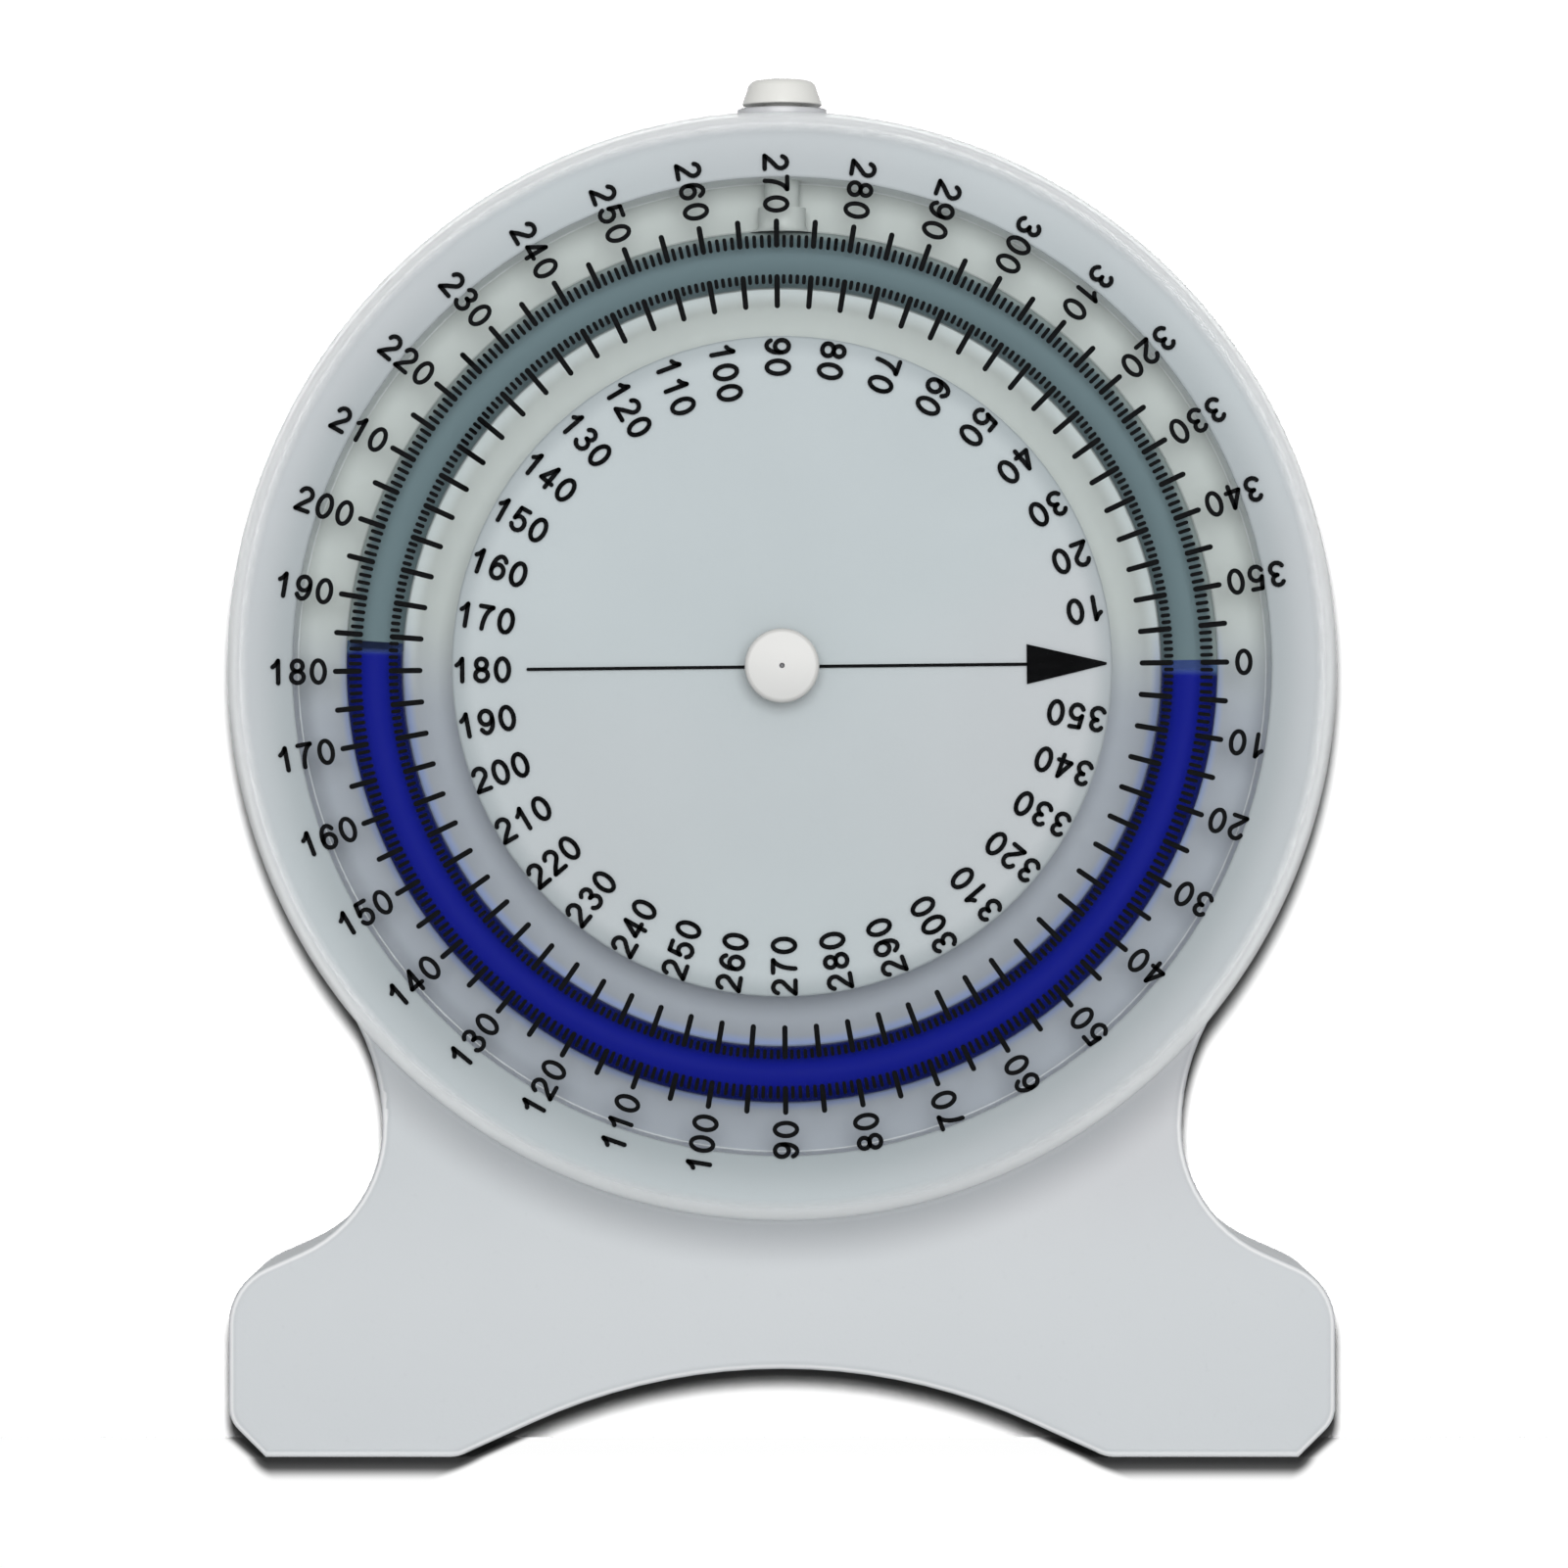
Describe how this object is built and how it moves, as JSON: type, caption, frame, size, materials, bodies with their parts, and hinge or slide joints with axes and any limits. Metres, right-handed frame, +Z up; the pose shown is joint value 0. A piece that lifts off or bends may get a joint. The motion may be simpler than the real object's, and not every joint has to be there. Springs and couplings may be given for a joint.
{
  "type": "inclinometer",
  "caption": "Desk inclinometer with a moulded stand, a ring tube half full of blue liquid and a clear turning dial with degree scales.",
  "frame": {"origin": "on the resting surface under the middle of the object, midway between its front and back", "axes": "+X to the right seen from the front, +Y backwards from the dial, +Z up"},
  "size_m": [0.1016, 0.0244, 0.1267],
  "materials": {
    "housing_plastic": "pale grey moulded plastic, fine satin",
    "cover_plastic": "pale grey moulded plastic, finely textured",
    "screw_steel": "zinc plated, turned heads",
    "tube_clear": "clear, polished",
    "gasket_rubber": "soft grey silicone",
    "plug_plastic": "cream white, semi gloss",
    "bush_brass": "turned",
    "dial_clear": "clear, polished, with black printed scales",
    "pin_plastic": "white moulded plastic, satin, with a small dimple at its gate",
    "washer_nylon": "natural nylon",
    "spring_steel": "hardened and oiled",
    "liquid_blue": "deep blue liquid"
  },
  "bodies": {
    "housing": {"front_housing": "housing_plastic", "rear_cover": "cover_plastic", "cover_screws": "screw_steel", "fluid_tube": "tube_clear", "filler_stem": "tube_clear", "plug_gasket": "gasket_rubber", "filler_plug": "plug_plastic", "pivot_bush": "bush_brass"},
    "dial": {"dial_disc": "dial_clear", "pivot_pin": "pin_plastic", "friction_washer": "washer_nylon", "spring_washer": "spring_steel", "backing_washer": "screw_steel", "retaining_clip": "spring_steel"},
    "liquid": {"liquid_column": "liquid_blue"}
  },
  "joints": [
    {"name": "dial_turn", "type": "hinge", "parent": "housing", "child": "dial", "pos_m": [0, 0, 0.0726], "axis": [0, -1, 0], "continuous": true},
    {"name": "liquid_swing", "type": "hinge", "parent": "housing", "child": "liquid", "pos_m": [0, 0, 0.0726], "axis": [0, -1, 0], "continuous": true}
  ]
}
